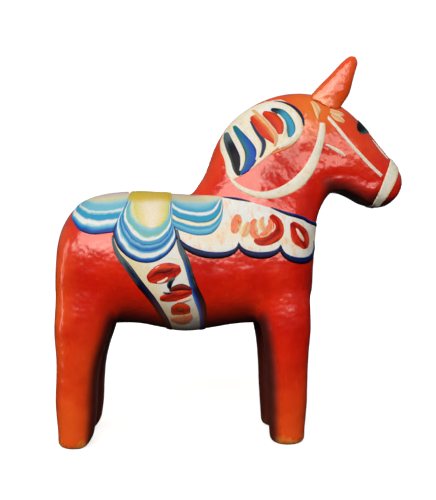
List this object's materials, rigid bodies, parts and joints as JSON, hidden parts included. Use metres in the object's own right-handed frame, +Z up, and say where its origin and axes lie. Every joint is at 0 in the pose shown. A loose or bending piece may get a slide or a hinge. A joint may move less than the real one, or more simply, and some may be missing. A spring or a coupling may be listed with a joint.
{
  "type": "carved wooden horse figurine",
  "caption": "Standing carved wooden horse in red lacquer, with a raised brush-painted saddle, girth, breast collar, mane leaf and bridle.",
  "frame": {"origin": "on the floor, midway between rump and muzzle, on the plane between the left and right halves", "axes": "+X forward to the muzzle, +Y to the horse's left, +Z up from the soles"},
  "size_m": [0.227, 0.0724, 0.248],
  "materials": {
    "red_lacquered_wood": "gloss enamel over carved pine",
    "blue_petal_paint": "thick brush paint shaded from navy to white",
    "yellow_paint": "thick brush paint",
    "cream_paint": "thick brush paint",
    "white_paint": "thick brush paint",
    "navy_paint": "thick brush paint",
    "rose_paint": "thick brush paint shaded from brick red to pink",
    "red_lock_paint": "thick brush paint",
    "dark_green_paint": "thick brush paint"
  },
  "bodies": {
    "root": {"body_half_left": "red_lacquered_wood", "body_half_right": "red_lacquered_wood", "breast_collar_left": "cream_paint", "breast_collar_right": "cream_paint", "bridle_cheekpiece_left": "white_paint", "bridle_cheekpiece_right": "white_paint", "cheek_dash_left": "white_paint", "cheek_dash_right": "white_paint", "collar_edging_left": "navy_paint", "collar_edging_right": "navy_paint", "collar_roses_left": "rose_paint", "collar_roses_right": "rose_paint", "ear_left": "red_lacquered_wood", "ear_right": "red_lacquered_wood", "forehead_patch": "dark_green_paint", "girth_edging_left": "navy_paint", "girth_edging_right": "navy_paint", "girth_left": "cream_paint", "girth_right": "cream_paint", "girth_roses_left": "rose_paint", "girth_roses_right": "rose_paint", "mane_leaf_left": "cream_paint", "mane_leaf_right": "cream_paint", "mane_locks_left": "blue_petal_paint", "mane_locks_right": "blue_petal_paint", "mane_red_lock_left": "red_lock_paint", "mane_red_lock_right": "red_lock_paint", "nose_line_left": "white_paint", "nose_line_right": "white_paint", "noseband": "cream_paint", "saddle_crown": "yellow_paint", "saddle_front_petal_left": "blue_petal_paint", "saddle_front_petal_right": "blue_petal_paint", "saddle_middle_petal_left": "blue_petal_paint", "saddle_middle_petal_right": "blue_petal_paint", "saddle_rear_petal_left": "blue_petal_paint", "saddle_rear_petal_right": "blue_petal_paint", "throat_strap_left": "cream_paint", "throat_strap_right": "cream_paint"}
  },
  "joints": []
}
